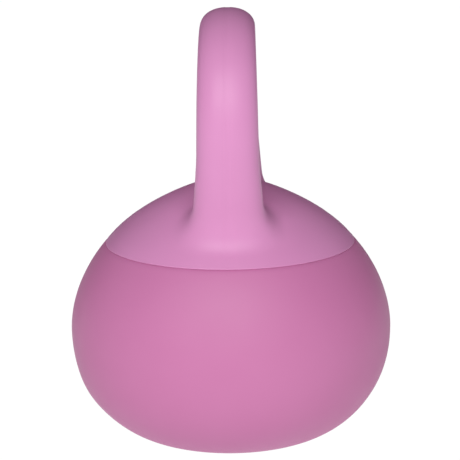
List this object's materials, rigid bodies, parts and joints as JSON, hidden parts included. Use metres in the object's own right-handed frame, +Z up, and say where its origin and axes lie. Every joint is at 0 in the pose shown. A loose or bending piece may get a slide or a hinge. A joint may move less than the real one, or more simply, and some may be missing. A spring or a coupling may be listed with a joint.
{
  "type": "soft kettlebell",
  "caption": "Soft sand-filled kettlebell: a round vinyl ball with a domed plastic cap and an arched hollow handle, standing on a flat base.",
  "frame": {"origin": "middle of the flat face that the ball stands on", "axes": "+Z up through the ball and the handle; +X along the grip bar; the handle's halves meet on the plane y = 0, with the front half on the -Y side"},
  "size_m": [0.17, 0.17, 0.2231],
  "materials": {
    "handle_plastic": "satin moulded polypropylene",
    "plate_plastic": "plain moulded polypropylene",
    "seal_foam": "closed-cell foam",
    "screw_steel": "zinc plated",
    "ball_vinyl": "soft satin vinyl",
    "sand_fill": "loose dry sand and iron grit",
    "stopper_vinyl": "soft satin vinyl"
  },
  "bodies": {
    "root": {"handle_front_half": "handle_plastic", "handle_back_half": "handle_plastic", "clamp_plate": "plate_plastic", "neck_seal": "seal_foam", "clamp_screws": "screw_steel", "ball_skin": "ball_vinyl", "ball_fill": "sand_fill", "filler_stopper": "stopper_vinyl"}
  },
  "joints": []
}
